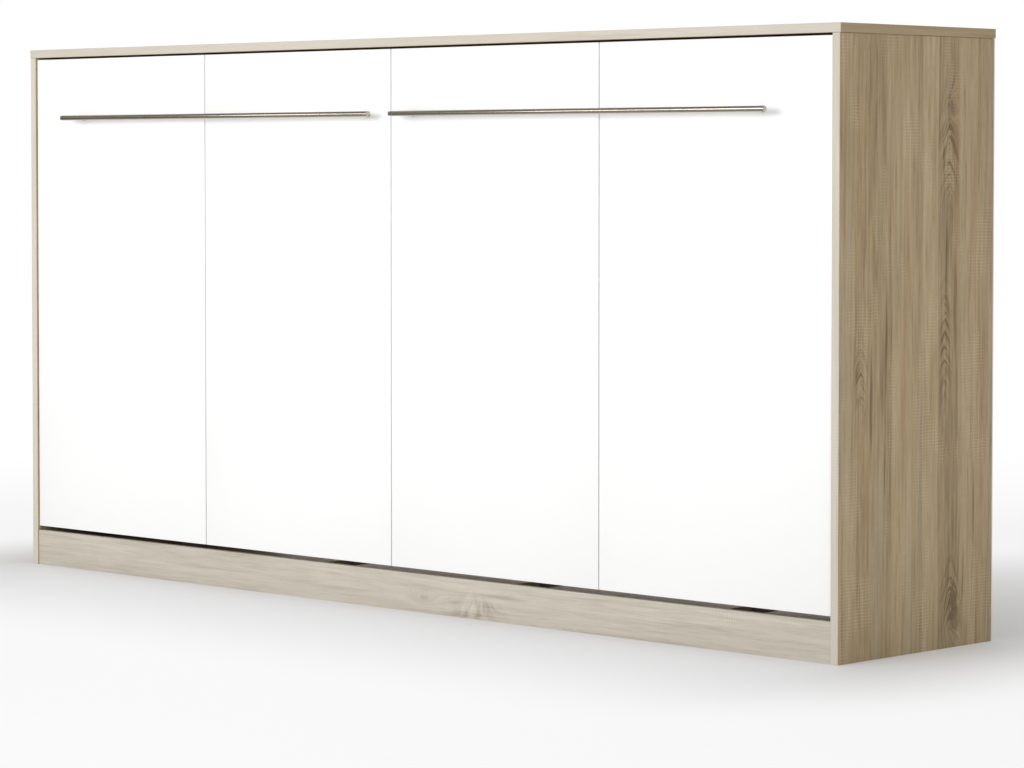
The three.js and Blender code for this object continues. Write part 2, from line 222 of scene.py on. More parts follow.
# Planks on upright boards, over the side panels' depth from front to rear: the share of that depth
# where each starts, and its tone.
SIDE_PLANKS = ((0.0, 0.52), (0.115, 0.40), (0.345, 0.58), (0.475, 0.46), (0.545, 0.64), (0.645, 0.32),
               (0.780, 0.56), (0.900, 0.46))
# Places of the grain's figures, as (across, along, half width, half length) in metres: knots that the
# streaks bend round, feathers of dark slanting strokes, and fans of pale strokes below an apex.
SIDE_KNOTS = ((0.106, 0.915, 0.015, 0.030), (0.112, 0.052, 0.018, 0.040))
SIDE_FEATHERS = ((0.100, 0.850, 0.022, 0.075), (0.090, 0.520, 0.012, 0.085), (0.108, 0.085, 0.022, 0.055),
                 (-0.135, 0.470, 0.014, 0.045))
PLINTH_KNOTS = ((0.026, 0.085, 0.012, 0.038),)
PLINTH_FANS = ((0.018, 0.225, 0.022, 0.058),)
# Noise layers of the grain: cycles per metre across and along it, seed offset, detail, roughness.
OAK_LAYERS = {
    "sway": (6.0, 1.4, 0.0, 1.0, 0.5),
    "ripple": (38.0, 15.0, 0.0, 2.0, 0.5),
    "broad": (27.0, 2.2, 0.0, 3.0, 0.6),
    "streak": (150.0, 5.0, 0.0, 4.0, 0.5),
    "fibre": (560.0, 17.0, 0.0, 3.0, 0.5),
    "pore": (1100.0, 60.0, 0.0, 1.0, 0.5),
    "heart": (75.0, 2.6, 4.0, 2.0, 0.5),
    "hue": (34.0, 1.6, 2.0, 2.0, 0.5),
    "patch": (15.0, 6.5, 9.0, 2.0, 0.5),
}
# What each part of the figure adds to the tone, and the level at which it adds nothing.
OAK_SHARES = {
    "broad": (0.50, 0.5), "streak": (0.72, 0.5), "fibre": (0.54, 0.5), "plank": (0.66, 0.5),
    "heart": (-0.24, 0.0), "saw": (0.30, 0.0), "feather": (-0.42, 0.0), "fan": (0.62, 0.0),
}
SAW_ROW, SAW_COMB = 0.0054, 0.0066


def oak_decor(name, along, across, tones=WARM_OAK, planks=None, knots=(), feathers=(), fans=(),
              contrast=1.0, seed=0.0):
    """Sonoma oak decor: planks of varied tone, streaks that bend round knots, fibres and saw marks."""
    g = Graph(name)
    axes = {"X": g.x, "Y": g.y, "Z": g.z}
    u, v = axes[across], axes[along]

    def layer(word, a, b):
        rate_a, rate_b, offset, detail, roughness = OAK_LAYERS[word]
        return g.noise(g.vector(g.scaled(a, rate_a), g.scaled(b, rate_b), seed + offset),
                       detail=detail, roughness=roughness)

    sway, ripple = layer("sway", u, v), layer("ripple", u, v)
    bent = g.add(u, g.scaled(sway, 0.020))
    core = None
    for across_at, along_at, half_width, half_length in knots:
        bell = g.bell(u, v, (across_at, along_at), (half_width, half_length))
        swirl = g.scaled(bell, g.add(g.scaled(ripple, 0.9), 0.75))
        bent = g.add(bent, g.scaled(swirl, 1.6 * half_width))
        spot = g.math("POWER", bell, 3.0)
        core = g.add(core, spot) if core else spot

    if planks:
        front, rear = (corner.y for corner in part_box("side_panel_right"))
        place = g.scaled(g.add(g.add(u, -front), g.scaled(sway, 0.012)), 1 / (rear - front))
        tone = shift = g.ramp(place, *((start, (level,) * 3) for start, level in planks), stepped=True)
    else:
        tone, shift, _ = g.cells(g.add(g.scaled(u, 16.0), seed), 0.9)
        tone = g.between(tone, 0.0, 1.0, 0.34, 0.64)
    moved = g.add(v, g.scaled(shift, 7.0))
    broad, streak, fibre, pore, heart, hue = (
        layer(word, bent, moved) for word in ("broad", "streak", "fibre", "pore", "heart", "hue"))

    wobble = g.scaled(ripple, 5.0)
    rows = g.math("SINE", g.add(g.scaled(v, 2 * math.pi / SAW_ROW), wobble))
    combs = g.math("SINE", g.add(g.scaled(u, 2 * math.pi / SAW_COMB), wobble))
    saw = g.scaled(g.between(rows, 0.1, 0.9), g.between(combs, -0.7, 0.6, 0.25, 1.0))
    saw = g.scaled(saw, g.between(layer("patch", u, v), 0.53, 0.62))
    saw = g.scaled(saw, g.between(fibre, 0.3, 0.6, 0.4, 1.0))

    figure = [("broad", broad), ("streak", streak), ("fibre", fibre), ("plank", tone),
              ("heart", g.between(heart, 0.63, 0.72)), ("saw", saw)]
    figure += [("feather", feather_strokes(g, u, v, place, ripple, seed)) for place in feathers]
    figure += [("fan", fan_strokes(g, u, v, place, ripple, seed)) for place in fans]
    value = 0.5
    for word, part in figure:
        share, neutral = OAK_SHARES[word]
        value = g.add(value, g.scaled(g.add(part, -neutral) if neutral else part, share * contrast))
    colour = g.ramp(value, *zip((0.10, 0.50, 0.92), tones))
    if tones == WARM_OAK:
        colour = g.mix(g.scaled(g.between(hue, 0.54, 0.70), 0.34), colour, OAK_AMBER)
        colour = g.mix(g.scaled(g.between(hue, 0.46, 0.32), 0.38), colour, OAK_GREY)
    colour = g.mix(g.scaled(g.between(pore, 0.6, 0.74), 0.28 * contrast), colour, tones[0])
    if core:
        ringed = g.scaled(core, g.between(streak, 0.35, 0.65, 0.95, 0.25))
        colour = g.mix(g.scaled(ringed, 0.60 * contrast ** 3), colour, OAK_KNOT)

    height = g.add(g.scaled(fibre, 0.6), g.scaled(saw, 0.5))
    height = g.add(height, g.scaled(g.between(pore, 0.58, 0.7), -0.6))
    roughness = g.between(fibre, 0.2, 0.8, 0.62, 0.5)
    return g.finish(colour, roughness, g.bump(height, 0.00022, 0.5), Specular_IOR_Level=0.35)


def feather_strokes(g, u, v, place, ripple, seed):
    """Dark strokes that slant away from a line along the grain, 0 to 1."""
    reach = g.bell(u, v, place[:2], place[2:])
    aside = g.math("POWER", g.add(u, -place[0]), 2.0)
    lean = g.scaled(g.math("SQRT", g.add(aside, 0.00002)), 1.9)
    run = g.add(g.add(v, lean), g.scaled(ripple, 0.030))
    strokes = g.noise(g.vector(g.scaled(run, 85.0), g.scaled(u, 22.0), seed + 6.0))
    return g.scaled(g.between(strokes, 0.46, 0.60), reach)


def fan_strokes(g, u, v, place, ripple, seed):
    """Pale and dull strokes that spread from an apex above the place, -0.5 to 0.5."""
    across_at, along_at, half_width, _ = place
    reach = g.bell(u, v, place[:2], place[2:])
    apex = across_at + 2.6 * half_width
    angle = g.math("ARCTAN2", g.add(v, -along_at), g.math("SUBTRACT", apex, u))
    turn = g.add(g.scaled(angle, 3.4), g.scaled(ripple, 1.3))
    strokes = g.noise(g.vector(turn, g.scaled(u, 16.0), seed + 6.0))
    return g.scaled(g.between(strokes, 0.38, 0.62, -0.5, 0.5), reach)


def chipboard(name):
    """Cut edge of an unlipped board: pressed chips of mixed brown, dark and dull."""
    g = Graph(name)
    chips = g.noise(g.position, scale=650.0, detail=3.0, roughness=0.7)
    clumps = g.noise(g.position, scale=160.0)
    colour = g.ramp(chips, (0.32, (0.075, 0.050, 0.028)), (0.68, (0.205, 0.150, 0.092)))
    colour = g.mix(g.scaled(g.between(clumps, 0.4, 0.7), 0.4), colour, (0.110, 0.078, 0.046))
    return g.finish(colour, g.between(chips, 0.3, 0.7, 0.80, 0.92), g.bump(chips, 0.0002, 0.7))


def white_melamine(name, tone=0.86):
    """White decor board: a faint satin pearl structure and hardly visible mottling."""
    g = Graph(name)
    pearl = g.noise(g.position, scale=1400.0)
    cloud = g.noise(g.position, scale=3.0)
    bright = (tone, tone, tone * 0.995)
    colour = g.mix(g.between(cloud, 0.3, 0.7), bright, shade(bright, 0.985))
    roughness = g.between(pearl, 0.3, 0.7, 0.30, 0.38)
    return g.finish(colour, roughness, g.bump(pearl, 0.00005, 0.35), Specular_IOR_Level=0.4)


def hardboard(name):
    """Raw brown rear face of a thin fibreboard: flecks, felted fibres and faint clouds."""
    g = Graph(name)
    fleck = g.noise(g.position, scale=420.0, detail=4.0, roughness=0.7)
    felt = g.noise(g.vector(g.scaled(g.x, 60.0), g.y, g.scaled(g.z, 110.0)), detail=4.0, roughness=0.7)
    cloud = g.noise(g.position, scale=4.0, detail=4.0)
    colour = g.ramp(fleck, (0.3, (0.215, 0.135, 0.075)), (0.7, (0.400, 0.275, 0.165)))
    colour = g.mix(g.scaled(g.between(felt, 0.50, 0.68), 0.55), colour, (0.200, 0.124, 0.070))
    colour = g.mix(g.scaled(g.between(cloud, 0.42, 0.66), 0.14), colour, (0.420, 0.300, 0.190))
    return g.finish(colour, g.between(fleck, 0.3, 0.7, 0.72, 0.82), g.bump(fleck, 0.0001, 0.5))


def beech(name, grain="Z"):
    """Clear-lacquered beech with short dark flecks along the grain."""
    g = Graph(name)
    along = {"X": g.x, "Z": g.z}[grain]
    across = g.add(*{"X": (g.y, g.z), "Z": (g.x, g.y)}[grain])
    streak = g.noise(g.vector(g.scaled(across, 130.0), g.scaled(along, 3.0)), detail=4.0)
    fleck = g.noise(g.vector(g.scaled(across, 900.0), g.scaled(along, 170.0)), detail=1.0)
    colour = g.ramp(streak, (0.3, (0.560, 0.385, 0.215)), (0.7, (0.700, 0.520, 0.320)))
    colour = g.mix(g.scaled(g.between(fleck, 0.62, 0.72), 0.5), colour, (0.34, 0.205, 0.10))
    return g.finish(colour, g.between(streak, 0.3, 0.7, 0.42, 0.5), g.bump(streak, 0.0001, 0.3),
                    Coat_Weight=0.15, Coat_Roughness=0.3)


def brushed_metal(name, colour, roughness):
    """Metal with fine brushing lines along X."""
    g = Graph(name)
    lines = g.noise(g.vector(g.scaled(g.x, 3.0), g.scaled(g.y, 3000.0), g.scaled(g.z, 3000.0)))
    tint = g.mix(g.between(lines, 0.3, 0.7), shade(colour, 0.9), colour)
    rough = g.between(lines, 0.3, 0.7, roughness - 0.05, roughness + 0.07)
    return g.finish(tint, rough, g.bump(lines, 0.00002, 0.3), Metallic=1.0, Anisotropic=0.5)


def zinc_plate(name):
    """Bright zinc plating: a fine spangle and slightly cloudy gloss."""
    g = Graph(name)
    spangle = g.noise(g.position, scale=260.0)
    cloud = g.noise(g.position, scale=30.0, detail=3.0)
    colour = g.mix(g.between(spangle, 0.35, 0.65), (0.56, 0.57, 0.59), (0.70, 0.71, 0.72))
    return g.finish(colour, g.between(cloud, 0.3, 0.7, 0.26, 0.42), g.bump(spangle, 0.00003, 0.3),
                    Metallic=1.0)


# Fine surface textures: noise scale, tint of the low spots, span of the roughness, and depth.
POWDER_COAT = (900.0, 0.93, (-0.04, 0.06), 0.00006)
MOULDED = (1600.0, 0.88, (-0.05, 0.07), 0.00005)


def textured(name, texture, colour, roughness=0.5, metallic=0.0):
    """Powder coat with its orange peel, or moulded plastic or rubber with its erosion texture."""
    g = Graph(name)
    scale, dull, (smoother, rougher), depth = texture
    grain = g.noise(g.position, scale=scale)
    tint = g.mix(g.between(grain, 0.35, 0.65), shade(colour, dull), colour)
    rough = g.between(grain, 0.3, 0.7, roughness + smoother, roughness + rougher)
    return g.finish(tint, rough, g.bump(grain, depth, 0.4), Metallic=metallic)


def polished_chrome(name):
    g = Graph(name)
    smear = g.noise(g.position, scale=60.0, detail=3.0)
    colour = g.mix(smear, (0.74, 0.75, 0.77), (0.80, 0.81, 0.82))
    return g.finish(colour, g.between(smear, 0.3, 0.7, 0.05, 0.12), Metallic=1.0)


def knitted_ticking(name, colour):
    """Knitted mattress cover: tiny loops in rows, a little slub and soft sheen."""
    g = Graph(name)
    rows = g.math("SINE", g.scaled(g.add(g.z, g.y), 3600.0))
    loops = g.math("SINE", g.scaled(g.add(g.x, g.scaled(g.y, 0.6)), 4200.0))
    knit = g.scaled(g.add(g.scaled(rows, loops), 1.0), 0.5)
    slub = g.noise(g.position, scale=55.0, detail=4.0)
    cloud = g.noise(g.position, scale=6.0)
    tint = g.mix(g.scaled(knit, 0.35), colour, shade(colour, 0.86))
    tint = g.mix(g.scaled(g.between(slub, 0.4, 0.7), 0.12), tint, shade(colour, 0.8))
    rough = g.between(cloud, 0.3, 0.7, 0.82, 0.92)
    height = g.add(g.scaled(knit, 0.7), g.scaled(slub, 0.3))
    return g.finish(tint, rough, g.bump(height, 0.0004, 0.5), Sheen_Weight=0.25, Sheen_Roughness=0.5)


def woven_webbing(name, colour):
    """Flat woven webbing with a herringbone of two close tones."""
    g = Graph(name)
    stripe = g.math("PINGPONG", g.scaled(g.x, 250.0), 1.0)
    weft = g.math("SINE", g.add(g.scaled(g.add(g.z, g.y), 2600.0), g.scaled(stripe, 5.0)))
    wear = g.noise(g.position, scale=90.0, detail=3.0)
    tint = g.mix(g.between(weft, -0.6, 0.6), shade(colour, 0.6), colour)
    tint = g.mix(g.scaled(wear, 0.15), tint, shade(colour, 1.8))
    return g.finish(tint, g.between(wear, 0.3, 0.7, 0.75, 0.9), g.bump(weft, 0.0003, 0.6),
                    Sheen_Weight=0.15)


# Painted shade and glow: the floor is darker at the bed and turns into a glowing white sweep away from it;
# the white glow's share at the bed, and (metres away, share) after it.
FLOOR_PAINTED_GLOW_FADE = (0.12, (0.7, 0.80), (3.5, 1.0))
# Distances count more beside the bed, and less behind its right end, so the painted shade reaches further
# there as a painted shadow of the bed.
FLOOR_SIDE_RATE = 1.5
FLOOR_PAINTED_SHADOW_RATE, FLOOR_PAINTED_SHADOW_X = 0.36, (-0.6, 0.7)
FLOOR_TONES = ((0.80, 0.80, 0.805), (0.76, 0.76, 0.765))
# Painted reflection: what glossy rays see in place of the floor, two tones, and where along X the first
# turns into the second.
FLOOR_PAINTED_REFLECTION = ((0.195, 0.189, 0.176), (0.440, 0.428, 0.400))
FLOOR_PAINTED_REFLECTION_X = (-2.0, -0.9)


def stage_floor(name, half_x, half_y):
    """Pale studio floor with painted shade at the bed, fading into a painted white glow away from it, and
    a painted grey reflection in the metal.
    """
    g = Graph(name)
    dx = g.scaled(g.math("MAXIMUM", g.add(g.math("ABSOLUTE", g.x), -half_x), 0.0), FLOOR_SIDE_RATE)
    front = g.math("MAXIMUM", g.math("SUBTRACT", -half_y, g.y), 0.0)
    rear = g.math("MAXIMUM", g.add(g.y, -half_y), 0.0)
    # Painted shadow: behind the bed's right end the distance counts less, so the painted shade lies
    # further out.
    rear = g.scaled(rear, g.between(g.x, *FLOOR_PAINTED_SHADOW_X, 1.0, FLOOR_PAINTED_SHADOW_RATE))
    dy = g.add(front, rear)
    away = g.math("SQRT", g.add(g.math("POWER", dx, 2.0), g.math("POWER", dy, 2.0)))
    start, (near, near_share), (far, far_share) = FLOOR_PAINTED_GLOW_FADE
    # Painted shade and glow: the share of glowing white grows with the distance from the bed.
    painted_glow_share = g.add(g.between(away, 0.0, near, start, near_share),
                 g.between(away, near, far, 0.0, far_share - near_share))
    colour = g.mix(g.scaled(g.noise(g.position, scale=3.0), 0.03), *FLOOR_TONES)
    material = g.finish(colour, 0.6, Specular_IOR_Level=0.2)
    # Painted white glow of the floor away from the bed.
    painted_glow = g.tree.nodes.new("ShaderNodeEmission")
    # Painted reflection: a grey glow that only glossy rays see on the floor, darker on the left than on
    # the right.
    painted_reflection = g.tree.nodes.new("ShaderNodeEmission")
    g.put(painted_reflection.inputs["Color"], g.mix(g.between(g.x, *FLOOR_PAINTED_REFLECTION_X), *FLOOR_PAINTED_REFLECTION))
    seen = g.tree.nodes.new("ShaderNodeLightPath")
    surface = g.shader.outputs["BSDF"]
    for share, other in ((painted_glow_share, painted_glow), (seen.outputs["Is Glossy Ray"], painted_reflection)):
        blend = g.tree.nodes.new("ShaderNodeMixShader")
        g.put(blend.inputs[0], share)
        g.put(blend.inputs[1], surface)
        g.put(blend.inputs[2], other.outputs["Emission"])
        surface = blend.outputs["Shader"]
    g.put(g.output.inputs["Surface"], surface)
    return material


M = {
    "oak_side": oak_decor("oak_side", "Z", "Y", planks=SIDE_PLANKS, knots=SIDE_KNOTS,
                          feathers=SIDE_FEATHERS),
    "oak_top": oak_decor("oak_top", "X", "Y", seed=3.7),
    "oak_rail": oak_decor("oak_rail", "X", "Z", seed=5.2),
    "oak_plinth": oak_decor("oak_plinth", "X", "Z", PLINTH_TONES, knots=PLINTH_KNOTS, fans=PLINTH_FANS,
                            contrast=0.8, seed=7.4),
    "edge_upright": oak_decor("edge_upright", "Z", "X", PALE_OAK, contrast=0.35, seed=1.3),
    "edge_level": oak_decor("edge_level", "X", "Z", PALE_OAK, contrast=0.35, seed=2.1),
    "edge_end": oak_decor("edge_end", "Y", "Z", END_OAK, contrast=0.5, seed=2.9),
    "chipboard": chipboard("chipboard"),
    "white": white_melamine("white_melamine"),
    "back_white": white_melamine("back_white", 0.72),
    "hardboard": hardboard("raw_hardboard"),
    "beech_slat": beech("beech_slat", "Z"),
    "beech_ledge": beech("beech_ledge", "X"),
    "handle": brushed_metal("handle_steel", (0.52, 0.465, 0.385), 0.22),
    "zinc": zinc_plate("zinc_plate"),
    "silver": textured("silver_powder_coat", POWDER_COAT, (0.46, 0.47, 0.48), 0.42, 0.55),
    "black": textured("black_enamel", POWDER_COAT, (0.022, 0.022, 0.024), 0.34),
    "chrome": polished_chrome("hard_chrome"),
    "rubber": textured("black_rubber", MOULDED, (0.020, 0.020, 0.020), 0.75),
    "black_plastic": textured("black_plastic", MOULDED, (0.030, 0.030, 0.032)),
    "white_plastic": textured("white_plastic", MOULDED, (0.74, 0.73, 0.70)),
    "ticking": knitted_ticking("knitted_ticking", (0.80, 0.80, 0.785)),
    "border": knitted_ticking("border_ticking", (0.42, 0.43, 0.44)),
    "piping": woven_webbing("piping_tape", (0.30, 0.31, 0.32)),
    "webbing": woven_webbing("grey_webbing", (0.085, 0.090, 0.098)),
}


# ---- mesh helpers ----

def new_piece(name, mesh, body, slot, *materials):
    for material in materials:
        mesh.materials.append(M[material])
    piece = bpy.data.objects.new(name, mesh)
    bpy.context.scene.collection.objects.link(piece)
    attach(piece, body)
    return piece


def mesh_from(name, bm, sharp_degrees):
    bmesh.ops.recalc_face_normals(bm, faces=bm.faces)
    mesh = bpy.data.meshes.new(name)
    bm.to_mesh(mesh)
    bm.free()
    mesh.shade_smooth()
    mesh.set_sharp_from_angle(angle=math.radians(sharp_degrees))
    return mesh


def body_of(node):
    return frame["nodes"][node]["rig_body"]


def add_detail(name, bm, body, slot, material, sharp_degrees=50.0):
    """A piece that has no CAD node of its own."""
    new_piece(name, mesh_from(name, bm, sharp_degrees), body, slot, material)


def add_instead(node, bm, *materials, sharp_degrees=50.0):
    """A piece that stands for a CAD node, with its body."""
    slot = next(s["material_slot"] for s in frame["record"]["subparts"] if s["node"] == node)
    mesh = mesh_from(node, bm, sharp_degrees)
    piece = new_piece(node + "_finished", mesh, body_of(node), slot, *materials)
    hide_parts(node)
    return piece


def rounded(node, materials, radius=0.0008, segments=2):
    """A CAD node's own solid with its sharp edges rounded. Three materials go by the faces' axis."""
    bm = bmesh.new()
    bm.from_mesh(frame["nodes"][node].data)
    bmesh.ops.remove_doubles(bm, verts=bm.verts, dist=1e-6)
    bmesh.ops.dissolve_limit(bm, angle_limit=math.radians(1.0), verts=bm.verts, edges=bm.edges)
    crisp = [e for e in bm.edges if len(e.link_faces) == 2 and e.calc_face_angle(0.0) > 0.7]
    bmesh.ops.bevel(bm, geom=crisp, offset=radius, segments=segments, profile=0.5,
                    affect="EDGES", clamp_overlap=True)
    bm.normal_update()
    if isinstance(materials, str):
        materials = (materials,)
    else:
        for face in bm.faces:
            face.material_index = max(range(3), key=lambda axis: abs(face.normal[axis]))
    return add_instead(node, bm, *materials)


def lathe(bm, profile, origin, axis, sides=32, ring_shaped=False):
    """Turns (radius, height) points about `axis` through `origin`; ends on the axis are closed."""
    turn = Vector(axis).to_track_quat("Z", "Y").to_matrix().to_4x4()
    place = Matrix.Translation(origin) @ turn
    rings = []
    for radius, height in profile:
        if radius < 1e-9:
            rings.append([bm.verts.new(place @ Vector((0, 0, height)))])
            continue
        angles = [2 * math.pi * i / sides for i in range(sides)]
        ring = [(radius * math.cos(a), radius * math.sin(a), height) for a in angles]
        rings.append([bm.verts.new(place @ Vector(point)) for point in ring])
    following = rings[1:] + rings[:1] if ring_shaped else rings[1:]
    for low, high in zip(rings, following):
        for i in range(sides):
            j = (i + 1) % sides
            corners = [low[i % len(low)], low[j % len(low)], high[j % len(high)], high[i % len(high)]]
            bm.faces.new(list(dict.fromkeys(corners)))


def add_slab(bm, low, high, radius):
    """A box between two corners, with all its edges rounded."""
    corners = [[(low, high)[bit][axis] for axis, bit in enumerate(bits)]
               for bits in ((0, 0, 0), (1, 0, 0), (1, 1, 0), (0, 1, 0),
                            (0, 0, 1), (1, 0, 1), (1, 1, 1), (0, 1, 1))]
    points = [bm.verts.new(corner) for corner in corners]
    sides = ((0, 3, 2, 1), (4, 5, 6, 7), (0, 1, 5, 4), (1, 2, 6, 5), (2, 3, 7, 6), (3, 0, 4, 7))
    faces = [bm.faces.new([points[i] for i in side]) for side in sides]
    edges = list({edge for face in faces for edge in face.edges})
    bmesh.ops.bevel(bm, geom=edges, offset=radius, segments=3, profile=0.5, affect="EDGES")


# A countersunk screw head with a round drive recess, a little proud: (share of its radius, height).
SCREW_HEAD = ((0.0, -0.0012), (0.30, -0.0010), (0.36, 0.0006), (0.88, 0.0006 * 0.8), (1.0, 0.0),
              (0.55, -0.0015), (0.0, -0.0016))


def add_screws(name, body, spots, axis, radius=0.0042):
    bm = bmesh.new()
    for at in spots:
        lathe(bm, [(radius * share, height) for share, height in SCREW_HEAD], at, axis, 20)
    add_detail(name, bm, body, "zinc_steel", "zinc")


def plate_spots(node, face_x, offsets):
    """Points on a plate's face, given as (y, z) distances from the middle of the plate."""
    low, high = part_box(node)
    y, z = (low.y + high.y) / 2, (low.z + high.z) / 2
    return [(face_x, y + dy, z + dz) for dy, dz in offsets]


def evenly(start, end, pitch):
    count = max(1, round((end - start) / pitch))
    return [start + (end - start) * i / count for i in range(count + 1)]

# ---- cabinet ----

# Materials of a board's faces across X, Y and Z.
UPRIGHT_OAK = ("oak_side", "edge_upright", "edge_upright")
LEVEL_OAK = ("edge_end", "edge_level", "oak_top")
FACING_OAK = ("edge_end", "oak_rail", "edge_level")
PLINTH_OAK = ("edge_end", "oak_plinth", "edge_level")
BASE_OAK = ("chipboard", "chipboard", "oak_top")
NAIL = ((0.0, 0.0), (0.0022, -0.0001), (0.0030, -0.0004), (0.0030, -0.0009), (0.0, -0.0009))
NAIL_PITCH, NAIL_INSET, NAIL_ROOM = 0.13, 0.008, 0.0005
PLATE_STEEL, PLATE_EDGE = 0.003, 0.0005
ANGLE_STEEL = 0.00225
# Screws as (y, z) from the middle of their plate.
BEARING_SCREWS = [(dy, dz) for dy in (-0.021, 0.021) for dz in (-0.021, 0.021)]
BRACKET_SCREWS = [(dy, dz) for dy in (-0.020, 0.020) for dz in (-0.034, 0.034)]
HINGE_SCREWS = [(-0.032, 0.078), (0.032, 0.078), (-0.032, 0.040), (0.032, 0.0), (0.032, -0.078),
                (-0.032, -0.078)]
CAM_COVER = ((0.0, 0.0008), (0.0078, 0.0008), (0.0087, 0.0005), (0.0090, 0.0), (0.0, 0.0))
CAM_INSET = 0.034


def add_back():
    """Back panels, white towards the room and raw fibreboard towards the wall, and their nails."""
    for word, _ in SIDES:
        node = f"back_panel_{word}"
        low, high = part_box(node)
        piece = rounded(node, ("back_white", "back_white", "back_white", "hardboard"), 0.0003, 1)
        for polygon in piece.data.polygons:
            polygon.material_index = 3 if polygon.normal.y > 0.9 else 0
        for vertex in piece.data.vertices:
            if vertex.co.y > high.y - NAIL_ROOM:
                vertex.co.y -= NAIL_ROOM
        xs = evenly(low.x + NAIL_INSET, high.x - NAIL_INSET, NAIL_PITCH)
        zs = evenly(low.z + NAIL_INSET, high.z - NAIL_INSET, NAIL_PITCH)
        spots = [(x, z) for x in xs for z in (zs[0], zs[-1])]
        spots += [(x, z) for z in zs[1:-1] for x in (xs[0], xs[-1])]
        bm = bmesh.new()
        for x, z in spots:
            lathe(bm, NAIL, (x, high.y, z), (0, 1, 0), 14)
        add_detail(f"back_nails_{word}", bm, "cabinet", "zinc_steel", "zinc")


def add_cam_covers():
    """Push-in caps over the cam fittings that hold the side panels to the top and to the rear rails."""
    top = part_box("top_panel")[0].z
    for word, side in SIDES:
        low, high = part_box(f"side_panel_{word}")
        inner_x = high.x if side < 0 else low.x
        bm = bmesh.new()
        for share in (0.12, 0.5, 0.88):
            y = low.y + (high.y - low.y) * share
            lathe(bm, CAM_COVER, (inner_x, y, top - CAM_INSET), (-side, 0, 0), 28)
        for node in ("upper_rear_rail", "lower_rear_rail"):
            rail_low, rail_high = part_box(node)
            for share in (0.25, 0.75):
                z = rail_low.z + (rail_high.z - rail_low.z) * share
                x = inner_x - side * CAM_INSET
                lathe(bm, CAM_COVER, (x, rail_low.y, z), (0, -1, 0), 28)
        add_detail(f"cam_covers_{word}", bm, "cabinet", "white_plastic", "white_plastic")


def add_cabinet_screws():
    for word, side in SIDES:
        inward = (-side, 0, 0)
        for node, offsets in ((f"bearing_plate_{word}", BEARING_SCREWS),
                              (f"spring_bracket_{word}", BRACKET_SCREWS)):
            low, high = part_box(node)
            face_x = low.x + PLATE_STEEL if side < 0 else high.x - PLATE_STEEL
            add_screws(node + "_screws", "cabinet", plate_spots(node, face_x, offsets), inward)
        node = f"stop_buffer_{word}"
        low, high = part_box(node)
        face_x = high.x if side < 0 else low.x
        add_screws(node + "_screw", "cabinet", plate_spots(node, face_x, [(0.0, 0.0)]), inward, 0.0030)
        node = f"wall_angle_{word}"
        low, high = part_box(node)
        x = (low.x + high.x) / 2
        reach = (high.z - low.z) * 0.55
        rear = [(x, high.y - ANGLE_STEEL, high.z - reach)]
        upper = [(x, high.y - reach, high.z - ANGLE_STEEL)]
        add_screws(node + "_rear_screw", "cabinet", rear, (0, -1, 0))
        add_screws(node + "_top_screw", "cabinet", upper, (0, 0, -1))


def add_cabinet():
    for word, _ in SIDES:
        rounded(f"side_panel_{word}", UPRIGHT_OAK)
        rounded(f"bearing_plate_{word}", "zinc", PLATE_EDGE)
        rounded(f"spring_bracket_{word}", "zinc", PLATE_EDGE)
        rounded(f"stop_buffer_{word}", "rubber", 0.0025, 4)
        rounded(f"wall_angle_{word}", "zinc", PLATE_EDGE)
    rounded("top_panel", LEVEL_OAK)
    rounded("plinth", PLINTH_OAK, 0.0006)
    rounded("base_board", BASE_OAK)
    rounded("upper_rear_rail", FACING_OAK)
    rounded("lower_rear_rail", FACING_OAK)
    rounded("back_joint_strip", "white_plastic", 0.0006)
    add_back()
    add_cam_covers()
    add_cabinet_screws()


# ---- bed ----

# Bevel at the ends of the handle bars, and the posts' flange: start and rim from the end, and width.
BAR_BEVEL = 0.0008
FLANGE_START, FLANGE_RIM, FLANGE = 0.0015, 0.0008, 0.0012


def add_front():
    for i in range(1, 5):
        rounded(f"front_panel_{i}", "white", 0.0005)


def bar_profile(radius, length):
    end = [(0.0, 0.0), (radius - BAR_BEVEL, 0.0), (radius - BAR_BEVEL * 0.3, BAR_BEVEL * 0.3),
           (radius, BAR_BEVEL)]
    return end + [(r, length - height) for r, height in reversed(end)]


def post_profile(radius, length):
    return [(0.0, 0.0), (radius, 0.0), (radius, length - FLANGE_START),
            (radius + FLANGE, length - FLANGE_RIM), (radius + FLANGE, length), (0.0, length)]


def add_turned(node, axis, profile, sides):
    """A handle part: a profile turned about the middle line of a round CAD node along an axis."""
    low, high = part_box(node)
    origin = [(a + b) / 2 for a, b in zip(low, high)]
    origin[axis] = low[axis]
    direction = [int(other == axis) for other in range(3)]
    bm = bmesh.new()
    lathe(bm, profile((high.z - low.z) / 2, high[axis] - low[axis]), origin, direction, sides)
    add_instead(node, bm, "handle", sharp_degrees=35.0)


def add_handles():
    for word, _ in SIDES:
        add_turned(f"handle_bar_{word}", 0, bar_profile, 48)
        for end in ("inner", "outer"):
            add_turned(f"handle_post_{word}_{end}", 1, post_profile, 32)


def add_bed_frame():
    for node in ("inner_long_rail", "outer_long_rail"):
        rounded(node, LEVEL_OAK)
    for word, _ in SIDES:
        rounded(f"end_rail_{word}", UPRIGHT_OAK)
        rounded(f"hinge_plate_{word}", "zinc", PLATE_EDGE)
    for node in ("slat_ledge_inner", "slat_ledge_outer"):
        rounded(node, "beech_ledge", 0.0015, 3)
    for node in SLATS:
        rounded(node, "beech_slat", 0.0020, 3)
    for word, side in SIDES:
        node = f"hinge_plate_{word}"
        low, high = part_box(node)
        face_x = high.x - PLATE_STEEL if side < 0 else low.x + PLATE_STEEL
        add_screws(node + "_screws", "bed", plate_spots(node, face_x, HINGE_SCREWS), (side, 0, 0))


# ---- mattress ----

